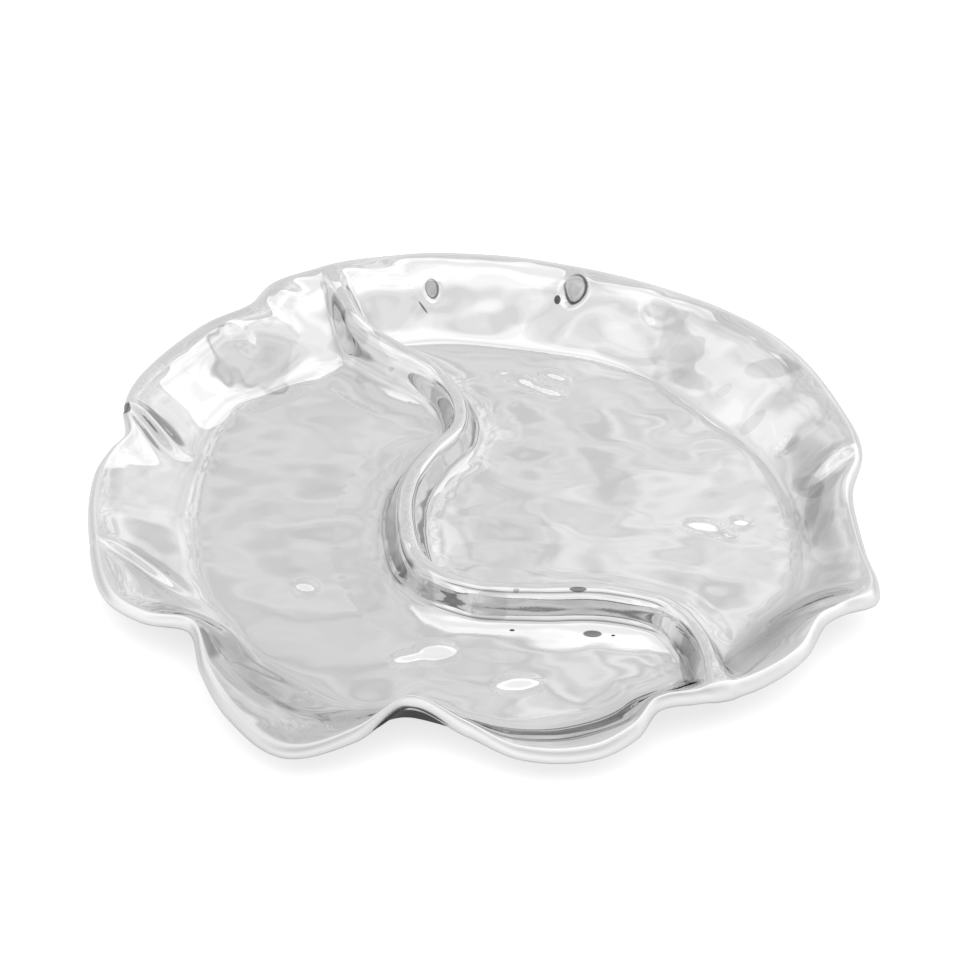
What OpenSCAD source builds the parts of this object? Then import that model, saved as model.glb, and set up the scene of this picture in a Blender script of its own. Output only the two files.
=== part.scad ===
// Round cast serving platter with a ruffled rim, parted into two wells by an S-shaped ridge.
// Millimetres, Z up. The table is at z = 0 and the origin is under the middle of the platter.
// Bearings turn anticlockwise from +X as seen from above, so 90 is the rear and 270 the front.

/* [Wells] */
// Thickness of the flat floors
floor_thickness = 4; // [3:0.5:5]

/* [Rim] */
// Scale of the rim's height above the floors
rim_lift = 1; // [0.8:0.05:1.2]
// Thickness of the wall where it ends in the rounded lip
lip_thickness = 6; // [5:0.5:7]

/* [Divider] */
// Height of the ridge's crest above the table
crest_height = 20.5; // [17:0.5:24]
// Half width of the ridge halfway up its flanks
flank_reach = 8; // [7:0.5:9]
// Metal left above the groove under the ridge
crest_thickness = 5; // [4:0.5:8]

/* [Smoothness] */
// Most degrees between neighbouring sections of the rim
bearing_step = 2; // [1.5:0.5:4]
// Steps along the divider, shared by its lengths
divider_steps = 54; // [42:6:72]

/* [Hidden] */
metal = "silver";

// Stations round the lip: bearing, reach of its inner edge, height of that edge, and how far the wall is a cove
lip = [
    [0, 184, 24, 0.35], [6, 192, 30, 0.4], [20, 195, 28, 0.2], [35, 199, 26, 0.2], [48, 198, 25, 0.2],
    [64, 194, 25, 0.2], [88, 200, 25, 0.2], [102, 205, 25, 0.2], [114, 206, 27, 0.2], [124, 208, 26, 0.2],
    [130, 200, 25, 0.2], [140, 202, 26, 0.2], [155, 201, 28, 0.2], [163, 195, 29, 0.4], [167, 189, 25, 0.6],
    [171, 194, 24, 0.5], [176, 198, 23, 0.4], [190, 198, 21, 0.3], [203, 199, 22, 0.3], [210, 190, 24, 0.4],
    [217, 176, 28, 0.4], [225, 187, 25, 0.4], [233, 197, 21, 0.3], [243, 203, 19, 0.2], [251, 184, 23, 0.4],
    [257, 161, 27, 0.4], [267, 169, 22, 0.4], [275, 182, 19, 0.3], [285, 188, 19, 0.2], [292, 184, 22, 0.4],
    [297, 176, 26, 0.4], [303, 181, 26, 0.4], [312, 188, 23, 0.4], [321, 193, 25, 0.4], [328, 190, 27, 0.4],
    [332, 195, 26, 0.4], [337, 205, 24, 0.3], [346, 192, 22, 0.4], [354, 185, 22, 0.35]
];

// Stations round the edge of the floor: bearing and reach
foot = [
    [15, 150], [36, 140], [56, 143], [80, 139], [100, 146], [115, 148], [128, 143], [150, 159],
    [170, 151], [190, 151], [215, 152], [245, 153], [257, 146], [280, 158], [303, 154], [320, 157], [340, 163]
];

// Crest of the ridge in plan, from the rear lip to the front lip
crest = [
    [-89, 192], [-80, 167], [-68, 140], [-49, 121], [-28, 102], [-15, 78], [-14, 54], [-28, 31], [-38, 6],
    [-39, -24], [-31, -53], [-9, -70], [24, -74], [60, -75], [88, -84], [102, -105], [107, -130], [110, -156]
];

// Where the ridge crosses the edge of the floor: place along the crest, bearing, and degrees to each side
rear_place = 2.35;
front_place = 15.45;
rear_bearing = 114.5;
front_bearing = 312;
root_spread = 10;

// Half width of the strip that holds the ridge, and the steps over which its ends widen into the roots
strip_reach = 18;
root_steps = 7;

// Length of the crest over which it climbs from its own height to the lip's, and how far it sinks into the lip there
climb_run = 25;
lip_sink = 0.35;

// Share of the wall's height by which the lip rolls over at its edge
lip_roll = 0.04;

// Shares of the wall's run, and shares of the strip's half width, at which the surface is drawn
wall_shares = [0, 0.06, 0.15, 0.25, 0.36, 0.48, 0.6, 0.72, 0.83, 0.92, 1];
strip_shares = [1, 0.82, 0.66, 0.5, 0.36, 0.24, 0.12, 0, -0.12, -0.24, -0.36, -0.5, -0.66, -0.82, -1];
nose_angles = [45, 90, 135];
share_step = 0.02;

// Bearings at which the rim is parted, in the hollows between its lobes
rear_right_parting = 58;
right_parting = 10;
corner_parting = -16;
front_parting = 257;
left_parting = 217;
shoulder_parting = 166;

// Closed curve through stations: the value in column k at a bearing, by a cubic with smooth joins
function turns(i, n) = floor(i / n);
function station_bearing(rows, i) = rows[i - len(rows) * turns(i, len(rows))][0] + 360 * turns(i, len(rows));
function station_value(rows, i, k) = rows[i - len(rows) * turns(i, len(rows))][k];
function station_slope(rows, i, k) =
    (station_value(rows, i + 1, k) - station_value(rows, i - 1, k))
    / (station_bearing(rows, i + 1) - station_bearing(rows, i - 1));
function cubic(y0, m0, y1, m1, u) =
    y0 * (2 * u ^ 3 - 3 * u ^ 2 + 1) + m0 * (u ^ 3 - 2 * u ^ 2 + u)
    + y1 * (3 * u ^ 2 - 2 * u ^ 3) + m1 * (u ^ 3 - u ^ 2);
function value_at(rows, bearing, k) =
    let (first = rows[0][0],
        b = bearing - 360 * floor((bearing - first) / 360),
        i = max([for (j = [0 : len(rows) - 1]) if (rows[j][0] <= b) j]),
        b0 = station_bearing(rows, i),
        gap = station_bearing(rows, i + 1) - b0)
    cubic(station_value(rows, i, k), station_slope(rows, i, k) * gap,
        station_value(rows, i + 1, k), station_slope(rows, i + 1, k) * gap, (b - b0) / gap);

// Open curve through the crest's points, at a place counted in points, and the direction to its left there
function crest_point(i) =
    i < 0 ? 2 * crest[0] - crest[1] :
    i >= len(crest) ? 2 * crest[len(crest) - 1] - crest[len(crest) - 2] : crest[i];
function crest_at(place) =
    let (i = min(floor(place), len(crest) - 2),
        p = crest_point(i - 1), q = crest_point(i), r = crest_point(i + 1), s = crest_point(i + 2))
    cubic(q, (r - p) / 2, r, (s - q) / 2, place - i);
function crest_left(place) =
    let (along = crest_at(place + 0.05) - crest_at(place - 0.05))
    [-along.y, along.x] / norm(along);
spine = [for (place = [0 : 0.125 : len(crest) - 1]) crest_at(place)];

function smooth(u) = let (c = max(0, min(1, u))) c * c * (3 - 2 * c);
function round_join(a, b) = b <= 0 ? a : (max(a, 0) ^ 6 + b ^ 6) ^ (1 / 6);
function off_segment(p, a, b) =
    let (run = b - a, share = max(0, min(1, (p - a) * run / (run * run))))
    norm(p - a - share * run);
function off_crest(p) = min([for (i = [1 : len(spine) - 1]) off_segment(p, spine[i - 1], spine[i])]);
function bell(distance, reach, fade_from, fade_to) =
    (1 - smooth((distance - fade_from) / (fade_to - fade_from))) / (1 + (distance / reach) ^ 4);

// Section of the rim at a bearing: bearing, reach of the floor's edge, reach and height of the lip, share of cove
function section(bearing) =
    [bearing, value_at(foot, bearing, 1), value_at(lip, bearing, 1),
        floor_thickness + (value_at(lip, bearing, 2) - 4) * rim_lift, value_at(lip, bearing, 3)];
// Share of the wall's height at a share of its run: it levels out into a lip that rolls over at its edge
function climb(share, cove) =
    let (up = min(share / 0.85, 1), bank = (1 - (1 - up) ^ 1.8 + smooth(up)) / 2,
        roll = lip_roll * max(0, (share - 0.85) / 0.15) ^ 2)
    (1 - cove) * bank + cove * min(share / 0.95, 1) ^ 1.8 - roll;
function wall_point(s, share) =
    let (reach = s[1] + (s[2] - s[1]) * share)
    [reach * cos(s[0]), reach * sin(s[0]), floor_thickness + (s[3] - floor_thickness) * climb(share, s[4])];

// Height of the ridge above the floors, and of the groove beneath it above the table, at a point in plan
function crest_level(p) =
    let (s = section(atan2(p.y, p.x)), up = smooth((norm(p) - s[1] + climb_run) / (s[2] - s[1] + climb_run)),
        out = smooth(((norm(p) - s[1]) / (s[2] - s[1]) - 0.3) / 0.7))
    floor_thickness + (crest_height + (s[3] - crest_height) * up - floor_thickness) * (1 - lip_sink * out);
function ridge(p) =
    let (d = off_crest(p))
    d >= strip_reach ? 0 : (crest_level(p) - floor_thickness) * bell(d, flank_reach, 12, strip_reach);
function groove(p) =
    let (d = off_crest(p))
    d >= 12 ? 0 : (crest_level(p) - crest_thickness) * bell(d, flank_reach - 4, 8, 12);

// Ring of points round one section of the rim: up the inside, over the lip and down the outside
function on_plan(p) = [p.x, p.y];
function lifted(p) = [p.x, p.y, floor_thickness + round_join(p.z - floor_thickness, ridge(on_plan(p)))];
function grooved(p) = [p.x, p.y, round_join(max(p.z, 0), groove(on_plan(p)))];
function outer_point(before, s, after, share) =
    let (p = wall_point(s, share),
        along = wall_point(s, min(1, share + share_step)) - wall_point(s, max(0, share - share_step)),
        normal = cross(along, wall_point(after, share) - wall_point(before, share)),
        thickness = floor_thickness + (lip_thickness - floor_thickness) * share ^ 2)
    share == 0 ? [p.x, p.y, 0] : p - normal / norm(normal) * thickness;
function rim_ring(bearing) =
    let (s = section(bearing), before = section(bearing - 1), after = section(bearing + 1),
        inner = [for (share = wall_shares) lifted(wall_point(s, share))],
        outer = [for (share = wall_shares) grooved(outer_point(before, s, after, share))],
        n = len(wall_shares),
        middle = (inner[n - 1] + outer[n - 1]) / 2,
        half = (inner[n - 1] - outer[n - 1]) / 2,
        away = inner[n - 1] - inner[n - 2],
        nose = [for (angle = nose_angles) middle + half * cos(angle) + away / norm(away) * norm(half) * sin(angle)])
    concat(inner, nose, [for (i = [n - 1 : -1 : 0]) outer[i]]);

// Bearings of the sections between two partings, and of those in the roots
function bearings(from, to) =
    let (n = ceil((to - from) / bearing_step)) [for (i = [0 : n]) from + (to - from) * i / n];
rear_root_bearings = [for (share = strip_shares) rear_bearing - share * root_spread];
front_root_bearings = [for (i = [len(strip_shares) - 1 : -1 : 0]) front_bearing + strip_shares[i] * root_spread];
rear_right_edge = rear_bearing - root_spread;
rear_left_edge = rear_bearing + root_spread;
front_left_edge = front_bearing - root_spread;
front_right_edge = front_bearing + root_spread - 360;

// Plan of the strip that holds the ridge: rows across it, whose ends widen to meet the roots at the floor's edge
function foot_point(bearing) = value_at(foot, bearing, 1) * [cos(bearing), sin(bearing)];
function strip_place(row) = rear_place + (front_place - rear_place) * row / divider_steps;
function strip_plain(row, share) = crest_at(strip_place(row)) + crest_left(strip_place(row)) * strip_reach * share;
function strip_point(row, share) =
    let (rear_gap = foot_point(rear_bearing - share * root_spread) - strip_plain(0, share),
        front_gap = foot_point(front_bearing + share * root_spread) - strip_plain(divider_steps, share))
    strip_plain(row, share) + rear_gap * (1 - smooth(row / root_steps))
    + front_gap * (1 - smooth((divider_steps - row) / root_steps));
function divider_ring(row) =
    let (plan = [for (share = strip_shares) strip_point(row, share)], n = len(plan))
    concat([for (p = plan) [p.x, p.y, floor_thickness + ridge(p)]],
        [for (i = [n - 1 : -1 : 0]) [plan[i].x, plan[i].y, groove(plan[i])]]);

// Closed solid through a row of like rings
module skin(rings) {
    n = len(rings);
    m = len(rings[0]);
    pairs = floor(m / 2);
    sides = [for (k = [0 : n - 2], j = [0 : m - 1])
        let (a = k * m + j, b = k * m + (j + 1) % m) each [[a, a + m, b + m], [a, b + m, b]]];
    cap = concat([for (j = [0 : pairs - 2]) each [[j, j + 1, m - 2 - j], [j, m - 2 - j, m - 1 - j]]],
        m % 2 == 1 ? [[pairs - 1, pairs, pairs + 1]] : []);
    last = (n - 1) * m;
    end_cap = [for (f = cap) [f[2] + last, f[1] + last, f[0] + last]];
    polyhedron(points = [for (ring = rings) each ring], faces = concat(sides, cap, end_cap), convexity = 8);
}

module rim_length(list) {
    color(metal) skin([for (bearing = list) rim_ring(bearing)]);
}

module divider_length(from, to) {
    color(metal) skin([for (row = [from : to]) divider_ring(row)]);
}

// Flat floor between a stretch of the rim's foot and one side of the strip
module well_floor(rim_points, strip_points) {
    color(metal) linear_extrude(floor_thickness) polygon(concat(rim_points, strip_points));
}

// Floor of the crescent well at the left and front
module left_well_floor() {
    arcs = concat(bearings(rear_left_edge, shoulder_parting), bearings(shoulder_parting, left_parting),
        bearings(left_parting, front_parting), bearings(front_parting, front_left_edge));
    rim_points = [for (i = [0 : len(arcs) - 1]) if (i == 0 || arcs[i] > arcs[i - 1]) foot_point(arcs[i])];
    well_floor(rim_points, [for (row = [divider_steps - 1 : -1 : 1]) strip_point(row, -1)]);
}

// Floor of the well at the right and rear
module right_well_floor() {
    arcs = concat(bearings(front_right_edge, corner_parting), bearings(corner_parting, right_parting),
        bearings(right_parting, rear_right_parting), bearings(rear_right_parting, rear_right_edge));
    rim_points = [for (i = [0 : len(arcs) - 1]) if (i == 0 || arcs[i] > arcs[i - 1]) foot_point(arcs[i])];
    well_floor(rim_points, [for (row = [1 : divider_steps - 1]) strip_point(row, 1)]);
}

// The S ridge, hollow beneath, in three lengths from the rear to the front
module divider_rear_bend() divider_length(0, divider_steps / 3);
module divider_middle_bend() divider_length(divider_steps / 3, divider_steps * 2 / 3);
module divider_front_run() divider_length(divider_steps * 2 / 3, divider_steps);

// Where the ridge climbs the wall and runs out over the lip
module divider_rear_root() rim_length(rear_root_bearings);
module divider_front_root() rim_length(front_root_bearings);

// Rim round the right well
module rim_rear() rim_length(bearings(rear_right_parting, rear_right_edge));
module rim_rear_right() rim_length(bearings(right_parting, rear_right_parting));
module rim_right_fold() rim_length(bearings(corner_parting, right_parting));
module rim_right_corner() rim_length(bearings(front_right_edge, corner_parting));

// Rim round the left well
module rim_front_right_lobe() rim_length(bearings(front_parting, front_left_edge));
module rim_front_left_lobe() rim_length(bearings(left_parting, front_parting));
module rim_left_lobe() rim_length(bearings(shoulder_parting, left_parting));
module rim_rear_left_shoulder() rim_length(bearings(rear_left_edge, shoulder_parting));

left_well_floor();
right_well_floor();
divider_rear_bend();
divider_middle_bend();
divider_front_run();
divider_rear_root();
divider_front_root();
rim_rear();
rim_rear_right();
rim_right_fold();
rim_right_corner();
rim_front_right_lobe();
rim_front_left_lobe();
rim_left_lobe();
rim_rear_left_shoulder();
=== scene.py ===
"""Looks of a divided serving platter: one polished aluminium casting with a ruffled rim and an S ridge."""
from math import atan2, ceil, cos, degrees, exp, floor, hypot, log1p, pi, radians, sin

import bmesh
import bpy
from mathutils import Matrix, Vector, geometry, kdtree, noise


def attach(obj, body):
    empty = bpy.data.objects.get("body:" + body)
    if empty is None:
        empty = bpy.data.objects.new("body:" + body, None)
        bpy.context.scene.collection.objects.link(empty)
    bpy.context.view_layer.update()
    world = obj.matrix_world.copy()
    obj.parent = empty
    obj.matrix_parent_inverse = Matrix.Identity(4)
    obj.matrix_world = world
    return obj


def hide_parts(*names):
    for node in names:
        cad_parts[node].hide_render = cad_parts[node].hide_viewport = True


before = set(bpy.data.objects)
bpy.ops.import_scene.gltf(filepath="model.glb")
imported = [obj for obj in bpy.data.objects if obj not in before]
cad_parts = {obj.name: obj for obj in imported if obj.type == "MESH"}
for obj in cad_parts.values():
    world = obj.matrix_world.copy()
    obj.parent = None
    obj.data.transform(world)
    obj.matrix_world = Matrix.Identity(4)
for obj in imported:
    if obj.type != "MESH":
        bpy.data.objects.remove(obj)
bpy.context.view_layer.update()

# The rim: the wall of the casting, drawn up out of the floor in uneven lobes and ended in a thick round lip.
# It is aluminium, sand cast from a hand-shaped pattern, so it is folded and dented in places.
# All sizes are in millimetres and all bearings in degrees from the right, seen from above.
floor_thickness = 4
lip_thickness = 6
# Stations round the lip: bearing, reach of its inner edge, height of that edge, share of cove in the wall
lip = [
    (0, 184, 24, 0.35), (6, 192, 30, 0.4), (20, 195, 28, 0.2), (35, 199, 26, 0.2), (48, 198, 25, 0.2),
    (64, 194, 25, 0.2), (88, 200, 25, 0.2), (102, 205, 25, 0.2), (114, 206, 27, 0.2), (124, 208, 26, 0.2),
    (130, 200, 25, 0.2), (140, 202, 26, 0.2), (155, 201, 28, 0.2), (163, 195, 29, 0.4), (167, 189, 25, 0.6),
    (171, 194, 24, 0.5), (176, 198, 23, 0.4), (190, 198, 21, 0.3), (203, 199, 22, 0.3), (210, 190, 24, 0.4),
    (217, 176, 28, 0.4), (225, 187, 25, 0.4), (233, 197, 21, 0.3), (243, 203, 19, 0.2), (251, 184, 23, 0.4),
    (257, 161, 27, 0.4), (267, 169, 22, 0.4), (275, 182, 19, 0.3), (285, 188, 19, 0.2), (292, 184, 22, 0.4),
    (297, 176, 26, 0.4), (303, 181, 26, 0.4), (312, 188, 23, 0.4), (321, 193, 25, 0.4), (328, 190, 27, 0.4),
    (332, 195, 26, 0.4), (337, 205, 24, 0.3), (346, 192, 22, 0.4), (354, 185, 22, 0.35),
]
# Stations round the foot of the wall: bearing, reach of the floor's edge, how softly the wall leaves it
foot = [
    (15, 150, 3), (36, 140, 2), (56, 143, 2), (80, 139, 3), (100, 146, 4), (115, 148, 5), (128, 143, 5),
    (150, 159, 6), (170, 151, 6), (190, 151, 6), (215, 152, 3), (245, 153, 2), (257, 146, 3), (280, 158, 5),
    (303, 154, 5), (320, 157, 4), (340, 163, 5),
]


def cubic(y0, m0, y1, m1, u):
    """Value between two stations, from their values and slopes."""
    return (y0 * (2 * u ** 3 - 3 * u ** 2 + 1) + m0 * (u ** 3 - 2 * u ** 2 + u)
            + y1 * (3 * u ** 2 - 2 * u ** 3) + m1 * (u ** 3 - u ** 2))


def round_curve(rows, bearing, k):
    """Value in column k at a bearing, on a smooth closed curve through the stations."""
    n = len(rows)
    bearing -= 360 * floor((bearing - rows[0][0]) / 360)
    i = max(j for j in range(n) if rows[j][0] <= bearing)
    near = [(rows[j % n][0] + 360 * (j // n), rows[j % n][k]) for j in range(i - 1, i + 3)]
    (b0, y0), (b1, y1), (b2, y2), (b3, y3) = near
    gap = b2 - b1
    return cubic(y1, (y2 - y0) / (b2 - b0) * gap, y2, (y3 - y1) / (b3 - b1) * gap, (bearing - b1) / gap)


sections = {}


def section(bearing):
    """Floor's reach, lip's reach, lip's height, share of cove and softness of the foot at a bearing."""
    key = round(bearing, 4)
    if key not in sections:
        sections[key] = (round_curve(foot, bearing, 1), *(round_curve(lip, bearing, k) for k in (1, 2, 3)),
                         round_curve(foot, bearing, 2))
    return sections[key]


def smooth(u):
    """Nought to one, with a soft start and a soft end."""
    u = max(0, min(1, u))
    return u * u * (3 - 2 * u)


lip_start, lip_run = 0.85, 0.15
roll_drop = 0.04
cove_end = 0.95
curve_power = 1.8


def climb(share, cove):
    """Share of the wall's height at a share of its run: it levels out into a lip that rolls over."""
    up = min(share / lip_start, 1)
    bank = (1 - (1 - up) ** curve_power + smooth(up)) / 2
    roll = roll_drop * max(0, (share - lip_start) / lip_run) ** 2
    return (1 - cove) * bank + cove * min(share / cove_end, 1) ** curve_power - roll


def wall_height(x, y):
    """Height of the plain wall above the floor, eased into the floor at its foot."""
    edge, reach, top, cove, softness = section(degrees(atan2(y, x)))
    share = (hypot(x, y) - edge) / (reach - edge)
    ease = softness / (reach - edge)
    return (top - floor_thickness) * climb((share + hypot(share, ease)) / 2, cove)


# Dents pressed into the pattern: x, y, half width round the rim, half width up the wall, depth, lean
dent_span, facet_span = 6, 5
dents = [
    (-29, 175, 3.6, 5, 1.0, 0.4), (50, 171, 6.5, 9, 1.6, 0.4), (158, 45, 5, 5, 0.8, 0.20),
    (-124, 118, 30, 22, 0, 0.2), (-132, 125, 6, 8, 0, -0.25), (96, 150, 10, 8, 0.3, 0.12),
]
# Small facets of the floors that lean forward and catch the light: x, y, half width, half length, turn, lean
facets = [
    (111, -10, 10, 5, -14, 0.14), (121, -16, 7, 3, -30, 0.14), (130, -7, 5, 4, 0, 0.14),
    (-37, -107, 8, 4, 12, 0.14), (-24, -103, 10, 7, 8, 0.14), (15, -125, 11, 6, 8, 0.14),
    (-89, -56, 6, 5, -25, 0.14), (22, 108, 9, 5, -35, 0.17), (34, 100, 10, 4, -25, 0.17),
    (10, 116, 6, 3, 10, 0.15), (38, 113, 8, 4, -30, 0.15),
]
# Pinched folds of the wall: x and y at the lip and at the inner end, half width, height of the crest,
# which is to the left of the line seen from the lip, or to its right if it is below nought
fold_narrow, fold_widening = 0.55, 0.9
fold_span, fold_overrun = 4, 0.1
fold_lip_run, fold_inner_run = 0.4, 0.45
folds = [
    (-194, 66, -159, 38, 2.8, 1.8), (-203, -30, -147, -66, 2.6, 1.5), (200, 27, 160, 10, 5, -1.8),
    (205, -74, 150, -58, 5, -0.4), (186, -83, 134, -93, 4, -1.4), (-131, -113, -72, -152, 6, 0.9),
    (-112, 172, -100, 158, 6, -0.8), (178, -5, 164, -32, 4, 0.5), (171, 4, 158, -22, 4, 0.4),
]


def pressed_lift(x, y):
    """Height that the dents, facets and folds add at a point."""
    lift = 0
    for cx, cy, across, along, depth, lean in dents:
        u, v = x - cx, y - cy
        if u * u + v * v < dent_span * max(across, along) ** 2:
            c, s = cx / hypot(cx, cy), cy / hypot(cx, cy)
            out, side = u * c + v * s, v * c - u * s
            lift += (lean * out - depth) * exp(-((out / along) ** 2 + (side / across) ** 2) ** 2)
    for cx, cy, across, along, turn, lean in facets:
        c, s = cos(radians(turn)), sin(radians(turn))
        u, v = (x - cx) * c + (y - cy) * s, (y - cy) * c - (x - cx) * s
        if u * u + v * v < facet_span * max(across, along) ** 2:
            lift += lean * v * exp(-((u / across) ** 2 + (v / along) ** 2) ** 3)
    for x0, y0, x1, y1, half, height in folds:
        dx, dy = x1 - x0, y1 - y0
        run = ((x - x0) * dx + (y - y0) * dy) / (dx * dx + dy * dy)
        off = ((y - y0) * dx - (x - x0) * dy) / hypot(dx, dy) / half
        off /= fold_narrow + fold_widening * max(0, run)
        if -fold_overrun < run < 1 + fold_overrun and abs(off) < fold_span:
            ends = smooth((run - fold_overrun) / fold_lip_run)
            ends *= smooth((1 + fold_overrun - run) / fold_inner_run)
            lift += height * off * exp((1 - off * off) / 2) * ends
    return lift


# Unevenness of hand work, from slow to fine: length of its waves in x and in y, where the noise is cut,
# height on the floors, and what is added on the wall and near the crest of the divider
waves = [(55, 55, 3.1, 0.9, 0.9, 0), (30, 24, 7.7, 0.3, 0.9, 0.5), (13, 10, 1.3, 0.04, 0.1, 0.26)]
wall_onset, wall_run = 2, 20
lip_calm, calm_start, calm_run = 0.7, 0.8, 0.2


def hand_lift(x, y, near):
    """Height that the unevenness of hand work adds at a point."""
    edge, reach = section(degrees(atan2(y, x)))[:2]
    share = (hypot(x, y) - edge) / (reach - edge)
    wall = smooth((hypot(x, y) - edge + wall_onset) / wall_run)
    wall *= 1 - lip_calm * smooth((share - calm_start) / calm_run)
    lift = 0
    for length_x, length_y, cut, on_floor, on_wall, on_crest in waves:
        height = on_floor + on_wall * wall + on_crest * near
        lift += height * noise.noise(Vector((x / length_x, y / length_y, cut)))
    return lift


# The divider: a ridge that runs in an S from the rear lip to the front lip and parts the floor in two wells.
# It is cast with the rest, rounded along its crest, hollow beneath, and climbs the wall at both ends.
MM = 0.001
crest_height = 20.5
crest_thickness = 5
crest_spread = 14
flank_share, flank_top, flank_foot, flank_turn = 0.86, 3.7, 8.5, 0.6
skirt_share, skirt_reach, skirt_power, skirt_fade, skirt_end = 0.14, 12, 3.5, 22, 36
groove_reach, groove_fade, groove_end = 4, 8, 12
climb_run = 25
rear_sink, front_sink, sink_start = 0.35, 0.12, 0.3
rear_flare, front_flare = 0.15, 0.7
join_power = 6
# Stations of the crest in plan, from the rear lip to the front one: x, y
crest = [
    (-89, 192), (-80, 167), (-68, 140), (-49, 121), (-28, 102), (-15, 78), (-14, 54), (-28, 31), (-38, 6),
    (-39, -24), (-31, -53), (-9, -70), (24, -74), (60, -75), (88, -84), (102, -105), (107, -130), (110, -156),
]


def crest_at(place):
    """Point of the crest in plan, at a place counted in its stations."""
    last = len(crest) - 1
    i = min(floor(place), last - 1)
    p, q, r, s = (Vector(crest[max(0, min(last, j))]) for j in range(i - 1, i + 3))
    p = 2 * q - r if i == 0 else p
    s = 2 * r - q if i == last - 1 else s
    return cubic(q, (r - p) / 2, r, (s - q) / 2, place - i)


spine_steps = 10
spine = [crest_at(k / spine_steps) for k in range(spine_steps * (len(crest) - 1) + 1)]
spine_tree = kdtree.KDTree(len(spine))
for k, p in enumerate(spine):
    spine_tree.insert((p.x, p.y, 0), k)
spine_tree.balance()


def near_crest(x, y):
    """Distance in plan from the crest, place along its spine, and distance towards the crescent well."""
    point = Vector((x, y))
    k = max(1, min(len(spine) - 2, spine_tree.find((x, y, 0))[1]))
    found = []
    for i in (k - 1, k):
        along = spine[i + 1] - spine[i]
        share = max(0, min(1, (point - spine[i]).dot(along) / along.length_squared))
        off = point - spine[i] - share * along
        found.append((off.length, i + share, (off.x * along.y - off.y * along.x) / along.length))
    return min(found)


# Where the ridge swells out on the side of the crescent well, at its rear end and its middle bend:
# the spine's points where a swelling starts, is full, fades and has ended, and how much broader it is
swellings = [(6, 20, 28, 50, 0.55), (62, 78, 96, 112, 0.35)]
swelling_run = 7


def swelling(place, aside):
    """How many times broader the ridge is at a place along its spine."""
    broader = 0
    for start, full, fade, end, share in swellings:
        broader += share * (smooth((end - place) / (end - fade)) * smooth((place - start) / (full - start)))
    return 1 + smooth(aside / swelling_run) * broader


def ramp(run):
    """A slope that starts at nought and turns up quickly but smoothly."""
    return max(run, 0) + flank_turn * log1p(exp(-abs(run) / flank_turn))


def ridge_shape(distance):
    """Share of the ridge's height at a distance from its crest: round top, steep flank and low skirt."""
    drop = ramp(flank_foot - distance) - ramp(flank_top - distance)
    flank = flank_share * drop / (flank_foot - flank_top)
    skirt = skirt_share / (1 + (distance / skirt_reach) ** skirt_power)
    return (flank + skirt) * (1 - smooth((distance - skirt_fade) / (skirt_end - skirt_fade)))


def crest_level(x, y):
    """Height of the crest above the table, which climbs to the lip's at both ends."""
    edge, reach, top = section(degrees(atan2(y, x)))[:3]
    up = smooth((hypot(x, y) - edge + climb_run) / (reach - edge + climb_run))
    sink = rear_sink if y > 0 else front_sink
    share = (hypot(x, y) - edge) / (reach - edge)
    sunk = 1 - sink * smooth((share - sink_start) / (1 - sink_start))
    return floor_thickness + (crest_height + (top - crest_height) * up - floor_thickness) * sunk


def round_join(a, b):
    """The higher of two heights, with a fillet where they cross."""
    return a if b <= 0 else (max(a, 0) ** join_power + b ** join_power) ** (1 / join_power)


def skin_point(x, y):
    """Point of the casting's upper skin above a point in plan."""
    up = wall_height(x, y)
    away, place, aside = near_crest(x, y)
    if away < skirt_end:
        edge, reach = section(degrees(atan2(y, x)))[:2]
        flare = 1 + (rear_flare if y > 0 else front_flare) * smooth((hypot(x, y) - edge) / (reach - edge))
        flare *= swelling(place, aside)
        up = round_join(up, (crest_level(x, y) - floor_thickness) * ridge_shape(away / flare))
    near = 1 / (1 + (away / crest_spread) ** 6)
    lift = pressed_lift(x, y) + hand_lift(x, y, near)
    return Vector((x, y, floor_thickness + up + lift)) * MM


def groove_height(x, y):
    """Height above the table of the groove under the ridge."""
    away = near_crest(x, y)[0]
    if away >= groove_end:
        return 0
    fade = 1 - smooth((away - groove_fade) / (groove_end - groove_fade))
    return (crest_level(x, y) - crest_thickness) * (fade / (1 + (away / groove_reach) ** 4))


# The strip of the casting that holds the ridge: the places of its ends in the crest's stations,
# the bearings of the roots and half their spread, half the strip's width, and the fineness of its net
rear_place, front_place = 2.35, 15.45
rear_bearing, front_bearing, root_spread = 114.5, 312, 10
strip_reach = 18
place_step = 0.05
divider_rows, root_rows, strip_columns = 300, 39, 54


def foot_point(bearing):
    """Point in plan of the floor's edge at a bearing."""
    reach = section(bearing)[0]
    return Vector((reach * cos(radians(bearing)), reach * sin(radians(bearing))))


def strip_plain(row, share):
    """Point in plan of the strip, square to the crest."""
    place = rear_place + (front_place - rear_place) * row / divider_rows
    along = crest_at(place + place_step) - crest_at(place - place_step)
    return crest_at(place) + Vector((-along.y, along.x)).normalized() * strip_reach * share


def strip_point(row, share):
    """Point in plan of the strip, whose ends widen to meet the roots at the floor's edge."""
    rear = foot_point(rear_bearing - share * root_spread) - strip_plain(0, share)
    front = foot_point(front_bearing + share * root_spread) - strip_plain(divider_rows, share)
    return (strip_plain(row, share) + rear * (1 - smooth(row / root_rows))
            + front * (1 - smooth((divider_rows - row) / root_rows)))


strip_shares = [2 * j / strip_columns - 1 for j in range(strip_columns + 1)]
strip_plan = [[strip_point(row, share) for share in strip_shares] for row in range(divider_rows + 1)]
skin = bmesh.new()


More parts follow.
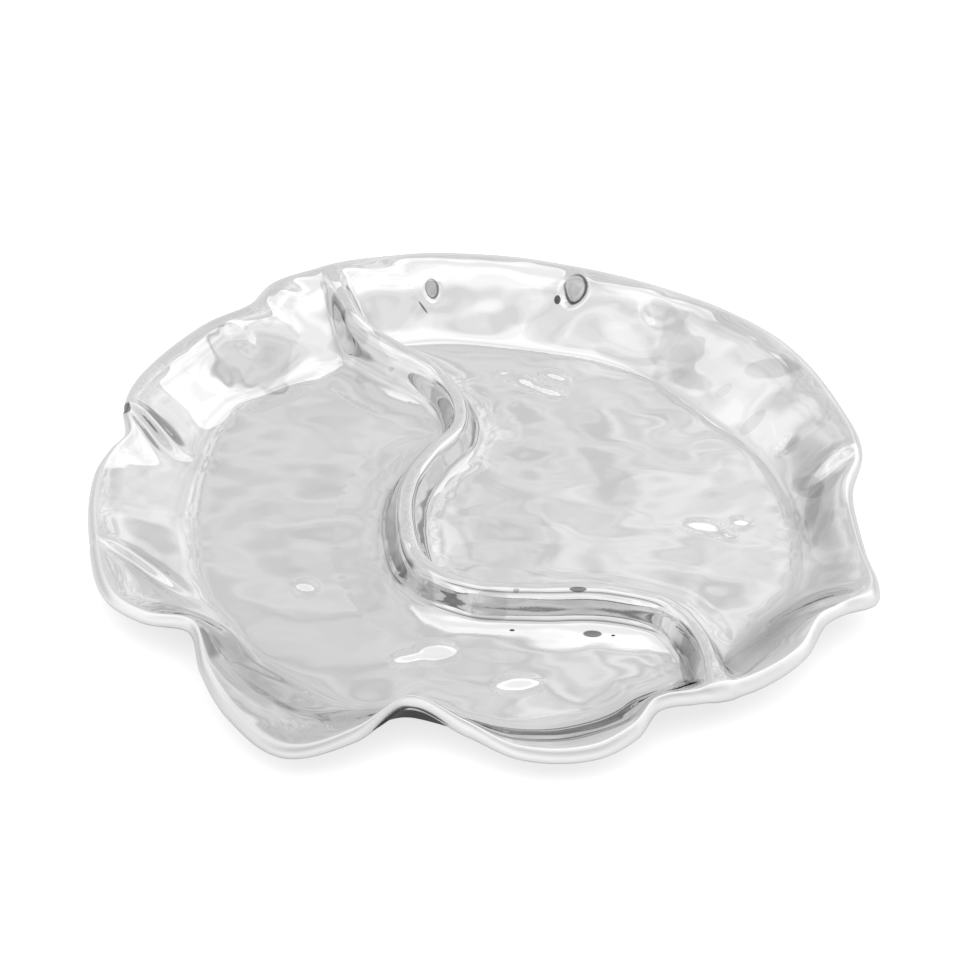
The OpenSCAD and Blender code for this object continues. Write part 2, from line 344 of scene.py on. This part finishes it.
def bent_sheet(name, columns, steps, place):
    """A flat grid whose points are each moved to their own place on the casting."""
    bpy.ops.object.select_all(action="DESELECT")
    bpy.ops.mesh.primitive_grid_add(x_subdivisions=columns, y_subdivisions=steps, size=2)
    piece = bpy.context.object
    piece.name = piece.data.name = name
    for v in piece.data.vertices:
        v.co = place(round((v.co.x + 1) / 2 * columns), round((v.co.y + 1) / 2 * steps))
    piece.data.update()
    skin.from_mesh(piece.data)
    return piece


def close_below(piece, underside):
    """Gives an open skin its thickness: it is extruded, and the new points go to the underside."""
    bpy.ops.object.mode_set(mode="EDIT")
    bpy.ops.mesh.select_all(action="SELECT")
    bpy.ops.mesh.extrude_region_move(TRANSFORM_OT_translate={"value": (0, 0, -floor_thickness * MM)})
    bpy.ops.object.mode_set(mode="OBJECT")
    for v in piece.data.vertices:
        if v.select:
            v.co.z = underside(v.co.x / MM, v.co.y / MM) * MM
    piece.data.update()


castings = []


def cast_in(piece, node):
    """Puts a piece in the place of its length of the casting, which is one rigid body."""
    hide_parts(node)
    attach(piece, "root")
    castings.append(piece)


divider_lengths = [
    ("divider_rear_bend", 0, 100), ("divider_middle_bend", 100, 200),
    ("divider_front_run", 200, divider_rows),
]
for node, first, last in divider_lengths:
    piece = bent_sheet(node + "_casting", last - first, strip_columns,
                       lambda i, j: skin_point(*strip_plan[first + i][j]))
    close_below(piece, groove_height)
    cast_in(piece, node)

# The rim's lengths, parted in the hollows between its lobes, and the two roots where the ridge runs out.
# Each is the cast wall from the floor's edge up, over the lip and down the outside, closed at its ends.
nose_start, nose_length, nose_droop = 0.965, 1.7, -0.45
inner_rows, nose_rows, outer_rows = 34, 10, 12
row_easing = 0.35
inner_shares = [nose_start * (smooth(k / inner_rows) * row_easing + (1 - row_easing) * k / inner_rows)
                for k in range(inner_rows + 1)]
outer_shares = [nose_start * (1 - k / outer_rows) for k in range(outer_rows + 1)]
nose_angles = [180 * k / nose_rows for k in range(1, nose_rows)]
rim_steps = len(inner_shares) + len(nose_angles) + len(outer_shares) - 1


def wall_point(bearing, share):
    """Point of the plain wall's inside at a bearing and a share of its run."""
    edge, reach, top, cove = section(bearing)[:4]
    r = edge + (reach - edge) * share
    up = (top - floor_thickness) * climb(share, cove)
    return Vector((r * cos(radians(bearing)), r * sin(radians(bearing)), floor_thickness + up))


share_step, bearing_side = 0.02, 1
groove_stop, groove_stop_run = 0.5, 0.3


def outer_point(bearing, share):
    """Point of the casting's outside, a wall's thickness from the inside."""
    p = wall_point(bearing, share)
    if share <= 0:
        return Vector((p.x, p.y, groove_height(p.x, p.y))) * MM
    along = wall_point(bearing, min(1, share + share_step)) - wall_point(bearing, share - share_step)
    aside = wall_point(bearing + bearing_side, share) - wall_point(bearing - bearing_side, share)
    normal = along.cross(aside).normalized()
    p -= normal * (floor_thickness + (lip_thickness - floor_thickness) * share ** 2)
    groove = groove_height(p.x, p.y) * (1 - smooth((share - groove_stop) / groove_stop_run))
    return Vector((p.x, p.y, round_join(max(p.z, 0), groove))) * MM


def rim_ring(bearing):
    """Points of the rim at a bearing: up the inside, over the lip and down the outside."""
    edge, reach = section(bearing)[:2]
    spans = [edge + (reach - edge) * share for share in inner_shares]
    inner = [skin_point(r * cos(radians(bearing)), r * sin(radians(bearing))) for r in spans]
    outer = [outer_point(bearing, share) for share in outer_shares]
    middle, half = (inner[-1] + outer[0]) / 2, (inner[-1] - outer[0]) / 2
    droop = Vector((0, 0, nose_droop))
    away = ((inner[-1] - inner[-2]).normalized() + droop).normalized() * half.length * nose_length
    return inner + [middle + half * cos(radians(a)) + away * sin(radians(a)) for a in nose_angles] + outer


def close_inside(piece, columns):
    """Closes a rim length: the inside face at the floor's edge first, and then its two ends."""
    last_row = len(piece.data.vertices) - columns - 1
    bpy.ops.object.mode_set(mode="EDIT")
    bpy.ops.mesh.select_mode(type="EDGE")
    bpy.ops.mesh.select_all(action="DESELECT")
    bpy.ops.object.mode_set(mode="OBJECT")
    for e in piece.data.edges:
        a, b = e.vertices
        e.select = max(a, b) <= columns or min(a, b) >= last_row
    bpy.ops.object.mode_set(mode="EDIT")
    bpy.ops.mesh.bridge_edge_loops()
    bpy.ops.mesh.select_all(action="SELECT")
    bpy.ops.mesh.fill_holes(sides=0)
    bpy.ops.object.mode_set(mode="OBJECT")


def mark_rows(piece, name, columns, start, run):
    """Marks a rim length from a row counted from the lip's inner edge on, over a soft run of rows."""
    rows = [k // (columns + 1) - len(inner_shares) for k in range(len(piece.data.vertices))]
    marks = [smooth((row - start) / run) for row in rows]
    piece.data.attributes.new(name, "FLOAT", "POINT").data.foreach_set("value", marks)


rear_right_edge, rear_left_edge = rear_bearing - root_spread, rear_bearing + root_spread
front_left_edge, front_right_edge = front_bearing - root_spread, front_bearing + root_spread - 360
bearing_step = 0.36
outside_row, outside_run = 4, 2
nose_row, nose_run = -4, 4
rim_lengths = [
    ("rim_rear", 58, rear_right_edge), ("rim_rear_right", 10, 58), ("rim_right_fold", -16, 10),
    ("rim_right_corner", front_right_edge, -16), ("rim_front_right_lobe", 257, front_left_edge),
    ("rim_front_left_lobe", 217, 257), ("rim_left_lobe", 166, 217),
    ("rim_rear_left_shoulder", rear_left_edge, 166),
    ("divider_rear_root", rear_right_edge, rear_left_edge),
    ("divider_front_root", front_left_edge, front_right_edge + 360),
]
edge_points = {}
for node, start, end in rim_lengths:
    columns = strip_columns if "root" in node else ceil((end - start) / bearing_step)
    bearings = [end - (end - start) * i / columns for i in range(columns + 1)]
    rings = [rim_ring(bearing) for bearing in bearings]
    edge_points[node] = [ring[0] for ring in reversed(rings)]
    piece = bent_sheet(node + "_casting", columns, rim_steps, lambda i, j: rings[i][j])
    close_inside(piece, columns)
    # These marks are where the shader paints shade under the lip and a brighter highlight on the nose
    mark_rows(piece, "outside", columns, outside_row, outside_run)
    mark_rows(piece, "nose", columns, nose_row, nose_run)
    cast_in(piece, node)

# The floors of the two wells: flat to the touch, but polished by hand, so their shine is faintly uneven.
# Each is cast between the rim's foot and one side of the ridge, and carries the platter on the table.
net_pitch, net_row, net_margin = 1.8, 0.866, 0.6
inside_only, merge_reach = 1, 1e-6


def well_floor(node, rim_nodes, side):
    """Floor of a well, laid as an even net of points within its outline."""
    outline = []
    for name in rim_nodes:
        outline += edge_points[name][:-1]
    outline.append(edge_points[rim_nodes[-1]][-1])
    rows = range(1, divider_rows)
    outline += [skin_point(*strip_plan[row][side]) for row in (rows if side else reversed(rows))]
    n = len(outline)
    flat = [Vector((p.x, p.y)) / MM for p in outline]
    low = Vector((min(p.x for p in flat), min(p.y for p in flat)))
    high = Vector((max(p.x for p in flat), max(p.y for p in flat)))
    net = []
    for j in range(ceil((high.y - low.y) / (net_pitch * net_row))):
        for i in range(ceil((high.x - low.x) / net_pitch)):
            net.append(low + Vector(((i + j % 2 / 2) * net_pitch, j * net_pitch * net_row)))
    near = kdtree.KDTree(n)
    for k, p in enumerate(flat):
        near.insert((p.x, p.y, 0), k)
    near.balance()
    net = [p for p in net if near.find((p.x, p.y, 0))[2] > net_pitch * net_margin]
    border = [(k, (k + 1) % n) for k in range(n)]
    points, _, faces = geometry.delaunay_2d_cdt(
        flat + net, border, [list(range(n))], inside_only, merge_reach)[:3]
    mesh = bpy.data.meshes.new(node + "_casting")
    mesh.from_pydata([skin_point(*p) if k >= n else outline[k] for k, p in enumerate(points)], [], faces)
    piece = bpy.data.objects.new(mesh.name, mesh)
    bpy.context.scene.collection.objects.link(piece)
    bpy.ops.object.select_all(action="DESELECT")
    piece.select_set(True)
    bpy.context.view_layer.objects.active = piece
    bpy.ops.object.mode_set(mode="EDIT")
    bpy.ops.mesh.select_all(action="SELECT")
    bpy.ops.mesh.delete_loose()
    bpy.ops.object.mode_set(mode="OBJECT")
    skin.from_mesh(mesh)
    close_below(piece, lambda x, y: 0)
    cast_in(piece, node)


left_rim = ["rim_rear_left_shoulder", "rim_left_lobe", "rim_front_left_lobe", "rim_front_right_lobe"]
right_rim = ["rim_right_corner", "rim_right_fold", "rim_rear_right", "rim_rear"]
well_floor("left_well_floor", left_rim, 0)
well_floor("right_well_floor", right_rim, -1)


# The polish: bright buffed aluminium, nearly a mirror, with a faint haze and a fine grain from the wheel.
# All lengths of the casting share it, and their shading runs on over the partings, as the metal does.
class Wire:
    """A shader value. Arithmetic on it adds Math nodes, and node() adds any other node to its tree."""

    def __init__(self, tree, socket=None):
        self.tree, self.socket = tree, socket

    def node(self, kind, settings=None, output=0, **inputs):
        """Adds a node from its type, settings, used output and inputs, by name or as s0, s1 by place."""
        made = self.tree.nodes.new(kind)
        for name, value in (settings or {}).items():
            if name == "stops":
                for k, (place, shade) in enumerate(value):
                    stop = made.color_ramp.elements[k] if k < 2 else made.color_ramp.elements.new(place)
                    stop.position, stop.color = place, (shade, shade, shade, 1)
            else:
                setattr(made, name, value)
        for name, value in inputs.items():
            socket = made.inputs[int(name[1:]) if name[1:].isdigit() else name.replace("_", " ")]
            if isinstance(value, Wire):
                self.tree.links.new(value.socket, socket)
            else:
                socket.default_value = value
        return Wire(self.tree, made.outputs[output] if made.outputs else None)

    def maths(self, operation, *values):
        """Adds a Math node on wires and numbers."""
        inputs = {f"s{k}": value for k, value in enumerate(values)}
        return self.node("ShaderNodeMath", {"operation": operation}, **inputs)

    def __add__(self, other):
        return self.maths("ADD", self, other)

    __radd__ = __add__

    def __mul__(self, other):
        return self.maths("MULTIPLY", self, other)

    __rmul__ = __mul__

    def __sub__(self, other):
        return self.maths("SUBTRACT", self, other)

    def __rsub__(self, other):
        return self.maths("SUBTRACT", other, self)


polish = bpy.data.materials.new("polished_aluminium")
polish.use_nodes = True
shader = polish.node_tree.nodes["Principled BSDF"]
metal = Wire(polish.node_tree)
place = metal.node("ShaderNodeTexCoord", output="Object")
# Masks for painted shade in the hollows and on the outside, and for a painted highlight on the lip's nose
hollow = metal.node("ShaderNodeAttribute", {"attribute_name": "hollow"}, output="Fac")
rough_and_shaded_outside = metal.node("ShaderNodeAttribute", {"attribute_name": "outside"}, output="Fac")
worn_and_brightened_nose = metal.node("ShaderNodeAttribute", {"attribute_name": "nose"}, output="Fac")
haze = metal.node("ShaderNodeTexNoise", Vector=place, Scale=30, Detail=3)
grain = metal.node("ShaderNodeTexNoise", Vector=place, Scale=900, Detail=4)
ragged = metal.node("ShaderNodeTexNoise", output="Color", Vector=place, Scale=60, Detail=1)
ragged = metal.node("ShaderNodeVectorMath", {"operation": "SUBTRACT"}, s0=ragged, s1=(0.5, 0.5, 0.5))
# Painted shade at pits, slits, pinched edges and dents, and in patches of the walls and ridge flanks:
# x, y, half width, half length, turn, depth of the painted shade, which is below nought
# for a painted highlight that makes the middle of a dent bright again
pit_shades = [
    (-29, 175, 3.6, 5.2, 10, 0.75), (-29.4, 175.6, 2.8, 4.2, 10, -0.4), (50, 171, 6.4, 8.6, 8, 0.85),
    (49.6, 172, 5, 7.2, 14, -0.55), (40, 165, 1.8, 2.6, 0, 0.85), (-34, 164, 0.6, 4, 37, 0.7),
    (45, -76, 4.2, 1.5, 0, 0.7), (52, -91, 4.5, 2.2, 0, 0.75), (13, -88, 1.3, 0.7, 0, 0.9),
    (-187, 58, 2.4, 5, 30, 0.7), (62, -92, 1, 0.6, 0, 0.9), (15, -76, 1.5, 1, 0, 0.4),
    (-83, 156, 3, 17, 22, 0.25), (163, -8, 9, 26, -4, 0.08), (165, 12, 5, 11, 35, 0.15),
    (167, 2, 4, 20, -12, 0.12), (160, -12, 2.5, 14, 8, 0.12), (2, -79, 9, 4, 0, 0.18),
    (97, -116, 4, 14, 5, 0.3), (-124, 117, 24, 17, 25, 0.5), (-122.8, 117.6, 22.8, 16, 25, -0.36),
    (106, 122, 10, 32, 14, 0.16), (108, 112, 7, 18, 14, 0.08), (153, 96, 14, 7, -8, 0.16),
    (162, 98, 5, 11, 10, 0.08), (127, 92, 5, 3, 30, 0.1), (141, 67, 8, 4, 40, 0.12),
    (-64, 122, 8, 30, 37, 0.13), (-71, 137, 4, 13, 30, 0.16), (-49, -14, 4.5, 34, 2, 0.16),
    (-36, -60, 5, 15, 40, 0.24),
]
tearing = 12
pit_edge, pit_full = 1.1, 0.92
pit_height = 10
deepest_tone = 0.05
painted_shade_and_highlight = 0
# Each pit darkens the colour as painted shade, or lightens it as a painted highlight where its depth is below
# nought
for x, y, across, along, turn, depth in pit_shades:
    tear = across * along / tearing * MM
    torn = metal.node("ShaderNodeVectorMath", {"operation": "MULTIPLY_ADD"},
                      s0=ragged, s1=(tear, tear, 0), s2=place)
    near = metal.node("ShaderNodeMapping", {"vector_type": "TEXTURE"}, Vector=torn,
                      Location=(x * MM, y * MM, 0), Rotation=(0, 0, radians(turn)),
                      Scale=(across * MM, along * MM, pit_height))
    off = metal.node("ShaderNodeVectorMath", {"operation": "LENGTH"}, output="Value", s0=near)
    pit_shade = metal.node("ShaderNodeMapRange", Value=off, From_Min=pit_edge, From_Max=pit_full, To_Max=depth)
    painted_shade_and_highlight = pit_shade + painted_shade_and_highlight
# The lip's nose is worn to a satin and painted brighter as a highlight, the hollows are duller and painted
# with shade, and the outside is rougher as cast and painted dark as the shade under the lip
mirror_roughness, metal_tone = 0.015, 0.74
roughness = mirror_roughness + haze * 0.03 + grain * 0.01 + hollow * 0.06
roughness = roughness + worn_and_brightened_nose * 0.36 + rough_and_shaded_outside * 0.1
tone = metal_tone + haze * 0.06 + worn_and_brightened_nose * 0.16
tone = tone * (1 - 0.5 * hollow) * (1 - 0.85 * rough_and_shaded_outside) * metal.maths("MAXIMUM", 1 - painted_shade_and_highlight, deepest_tone)
shader.inputs["Metallic"].default_value = 1
polish.node_tree.links.new(roughness.socket, shader.inputs["Roughness"])
shade = metal.node("ShaderNodeCombineColor", s0=tone, s1=tone, s2=tone)
polish.node_tree.links.new(shade.socket, shader.inputs["Base Color"])
wear = metal.node("ShaderNodeBump", Height=grain, Strength=0.02, Distance=0.0002)
polish.node_tree.links.new(wear.socket, shader.inputs["Normal"])

# Pockets of the wall that are made duller and get painted shade: bearing, half width round the rim,
# share of the wall's run, half width up the wall, depth of the dulling and the painted shade
dull_shaded_recesses = [
    (232, 15, 0.3, 0.35, 0.6), (245, 10, 0.5, 0.3, 0.1), (280, 18, 0.5, 0.3, 0.3), (325, 10, 0.3, 0.4, 0.7),
    (236, 14, 0.9, 0.2, 0.4), (355, 8, 0.45, 0.3, 0.1), (196, 4, 0.45, 0.35, 0.35), (165, 4, 0.5, 0.4, 0.35),
    (50, 7, 0.75, 0.35, 0.18), (44, 6, 0.35, 0.3, 0.2),
]
recess_start = -0.5


def recess_dulling_and_shade(x, y):
    """How far a point lies in a pocket that is duller and gets painted shade."""
    bearing = degrees(atan2(y, x))
    edge, reach = section(bearing)[:2]
    share = (hypot(x, y) / MM - edge) / (reach - edge)
    if share < recess_start:
        return 0
    dulling_and_shade = 0
    for middle, wide, run, tall, depth in dull_shaded_recesses:
        side = (bearing - middle + 180) % 360 - 180
        dulling_and_shade += depth * exp(-(side / wide) ** 2 - ((share - run) / tall) ** 2)
    return dulling_and_shade


# The skin of all lengths as one sheet, and a copy smoothed over and over, which shows where the hollows are;
# the hollows are made duller and get painted shade
merge_gap, match_gap = 0.00001, 0.00002
smoothing_passes = 60
hollow_dulling, hollow_depth = 0.35, 0.002
crease = 0.3
bmesh.ops.remove_doubles(skin, verts=skin.verts, dist=merge_gap)
skin.normal_update()
smoothed_skin = skin.copy()
for _ in range(smoothing_passes):
    bmesh.ops.smooth_vert(smoothed_skin, verts=smoothed_skin.verts, factor=0.5,
                          use_axis_x=True, use_axis_y=True, use_axis_z=True)
skin_tree = kdtree.KDTree(len(skin.verts))
skin_normals, skin_hollows = [], []
for v, w in zip(skin.verts, smoothed_skin.verts):
    skin_tree.insert(v.co, v.index)
    skin_normals.append(v.normal.copy())
    # Hollows and the listed pockets are made rougher and get painted shade in their colour
    sunk = hollow_dulling * smooth((w.co - v.co).dot(v.normal) / hollow_depth)
    skin_hollows.append(min(1, sunk + recess_dulling_and_shade(v.co.x, v.co.y)))
skin_tree.balance()
for piece in castings:
    mesh = piece.data
    bpy.ops.object.select_all(action="DESELECT")
    piece.select_set(True)
    bpy.context.view_layer.objects.active = piece
    bpy.ops.object.mode_set(mode="EDIT")
    bpy.ops.mesh.select_all(action="SELECT")
    bpy.ops.mesh.normals_make_consistent(inside=False)
    bpy.ops.object.mode_set(mode="OBJECT")
    bpy.ops.object.shade_smooth()
    shared, hollows = [], []
    for v in mesh.vertices:
        _, k, gap = skin_tree.find(v.co)
        shared.append(skin_normals[k] if gap < match_gap else None)
        hollows.append(skin_hollows[k] if gap < match_gap else 0)
    mesh.attributes.new("hollow", "FLOAT", "POINT").data.foreach_set("value", hollows)
    if "outside" not in mesh.attributes:
        below = [0 if normal else 1 for normal in shared]
        mesh.attributes.new("outside", "FLOAT", "POINT").data.foreach_set("value", below)
    normals = []
    for face in mesh.polygons:
        for v in face.vertices:
            follow = shared[v] is not None and shared[v].dot(face.normal) > crease
            normals.append(shared[v] if follow else face.normal)
    mesh.normals_split_custom_set(normals)
    mesh.materials.append(polish)
skin.free()
smoothed_skin.free()

# The table: a plain white sweep of matt paper, laid flat under the platter and far out behind it.
# It takes the platter's soft shadow and fills the background.
table_width = 12
paper = (0.66, 0.66, 0.66, 1)
white = (1, 1, 1, 1)
seen_glow, mirrored_glow = 0.69, 0.2
bpy.ops.mesh.primitive_plane_add(size=table_width)
table = bpy.context.object
table.name = "table"
sweep = bpy.data.materials.new("white_sweep")
sweep.use_nodes = True
sweep.node_tree.nodes.clear()
sheet = Wire(sweep.node_tree)
seen = sheet.node("ShaderNodeLightPath", output="Is Camera Ray")
mirrored = sheet.node("ShaderNodeLightPath", output="Is Glossy Ray")
matt = sheet.node("ShaderNodeBsdfDiffuse", Color=paper)
glow = sheet.node("ShaderNodeEmission", Color=white, Strength=seen * seen_glow + mirrored * mirrored_glow)
sheet.node("ShaderNodeOutputMaterial", Surface=sheet.node("ShaderNodeAddShader", s0=matt, s1=glow))
table.data.materials.append(sweep)

# The light: a soft studio, with a wide bright panel overhead, a pale wall behind and a dim room in front.
# All of it is the world's, so the polish has the whole room to mirror.
studio = bpy.data.worlds.new("studio")
bpy.context.scene.world = studio
studio.use_nodes = True
studio.node_tree.nodes.clear()
room = Wire(studio.node_tree)


def between(value, start, end):
    """A mask that runs softly from nought at start to one at end."""
    return room.node("ShaderNodeMapRange", {"interpolation_type": "SMOOTHSTEP"}, Value=value, From_Min=start,
                     From_Max=end)


towards = room.node("ShaderNodeTexCoord", output="Generated")
split = room.node("ShaderNodeSeparateXYZ", Vector=towards)
along_x = Wire(studio.node_tree, split.socket.node.outputs["X"])
along_y = Wire(studio.node_tree, split.socket.node.outputs["Y"])
along_z = Wire(studio.node_tree, split.socket.node.outputs["Z"])
rise = room.maths("ARCTAN2", along_z, along_y) * (180 / pi)
# Brightness of the room from the wall behind, over the ceiling, to the wall in front: angle, shade
bands = [
    (0, 0.8), (25, 0.84), (33, 0.86), (36, 0.88), (38, 0.84), (41, 0.9), (43, 0.82), (46, 0.86), (49, 0.82),
    (53, 0.9), (60, 1), (85, 1.04), (112, 0.98), (121, 0.85), (123, 0.3), (130, 0.3), (134, 0.48), (142, 0.6),
    (150, 0.85), (160, 1.05), (180, 1.15),
]
walls = room.node("ShaderNodeValToRGB", {"stops": [(angle / 180, shade) for angle, shade in bands]},
                  Fac=rise * (1 / 180))
stretched = room.node("ShaderNodeVectorMath", {"operation": "MULTIPLY"}, s0=towards, s1=(0.4, 1, 1))
patches = room.node("ShaderNodeTexNoise", Vector=stretched, Scale=48, Detail=2)
patch_shades = [(0.38, 0.84), (0.41, 0.85), (0.43, 0.95), (0.49, 0.96), (0.51, 1.04), (0.57, 1.05),
                (0.59, 1.14), (0.62, 1.14)]
patches = room.node("ShaderNodeValToRGB", {"stops": patch_shades}, Fac=patches)
clouds = room.node("ShaderNodeTexNoise", Vector=towards, Scale=5, Detail=2)
cloud_shades = [(0.3, 0.86), (0.38, 0.88), (0.42, 0.95), (0.49, 0.96), (0.52, 1.02), (0.59, 1.03),
                (0.63, 1.1), (0.7, 1.1)]
clouds = room.node("ShaderNodeValToRGB", {"stops": cloud_shades}, Fac=clouds)
# The middle of the rear wall, which the floors mirror, has small patches, the rest of the room wide clouds
rear_middle = between(rise, 58, 48) * between(room.maths("ABSOLUTE", along_x), 0.28, 0.17)
lively = between(along_x, -0.06, 0.03)
patches = (0.96 + 0.04 * lively) * (1 + (patches - 1) * (0.4 + 0.6 * lively))
slant = 1 + 0.8 * room.maths("MINIMUM", room.maths("MAXIMUM", along_x + 0.03, 0), 0.2)
uneven = clouds + (patches * slant - clouds) * rear_middle
# The bright panel above the rear wall, and the darker and paler parts of the room at the left and right
panel_strength = 1.28
lean = rise + 15 * room.maths("MAXIMUM", along_x - 0.3, 0)
panel = between(lean, 49.5, 50.5) * between(rise, 84, 79)
panel = panel * between(along_x, -0.18, -0.12) * between(along_x, 0.92, 0.86)
tilt = 0 - along_x - along_z
left_side = (0.24 * between(tilt, 0.1, 0.5) + 0.4 * between(tilt, 0.55, 0.8)) * between(along_y, -0.05, 0.25)
sides = between(room.maths("ABSOLUTE", along_x), 0.6, 0.85) * between(rise, 112, 122)
walls = walls + (0.9 - walls) * sides
right_side = between(along_x, 0.15, 0.3) * between(rise, 50, 42) * between(rise, 22, 30)
right_low = between(along_x, 0.4, 0.52) * between(rise, 28, 20)
left_lift = between(0 - along_x, 0.2, 0.4) * between(rise, 40, 55)
shade = uneven * (1 - left_side) * (1 - 0.4 * right_low) * (1 + 0.24 * right_side) * (1 + 0.12 * left_lift)
around = room.node("ShaderNodeBackground", Color=walls, Strength=shade)
overhead = room.node("ShaderNodeBackground", Color=white, Strength=panel_strength * clouds)
light = room.node("ShaderNodeMixShader", s0=panel, s1=around, s2=overhead)
backdrop = room.node("ShaderNodeBackground", Color=white, Strength=1)
viewed = room.node("ShaderNodeLightPath", output="Is Camera Ray")
room.node("ShaderNodeOutputWorld", Surface=room.node("ShaderNodeMixShader", s0=viewed, s1=light, s2=backdrop))

# The camera: a long lens looking down on the platter from the front, at forty degrees above the table.
# Its place and aim are real distances, with the platter a little above the middle of the square frame.
camera_place = Vector((-0.0026, -1.1176, 0.9642))
camera_aim = Vector((-0.0026, 0.0315, 0))
bpy.ops.object.camera_add(location=camera_place)
camera = bpy.context.object
camera.rotation_euler = (camera_aim - camera_place).to_track_quat("-Z", "Y").to_euler()
camera.data.sensor_width = 36
camera.data.lens = 108.4
bpy.context.scene.camera = camera

bpy.context.scene.view_settings.view_transform = "Standard"
bpy.context.view_layer.update()
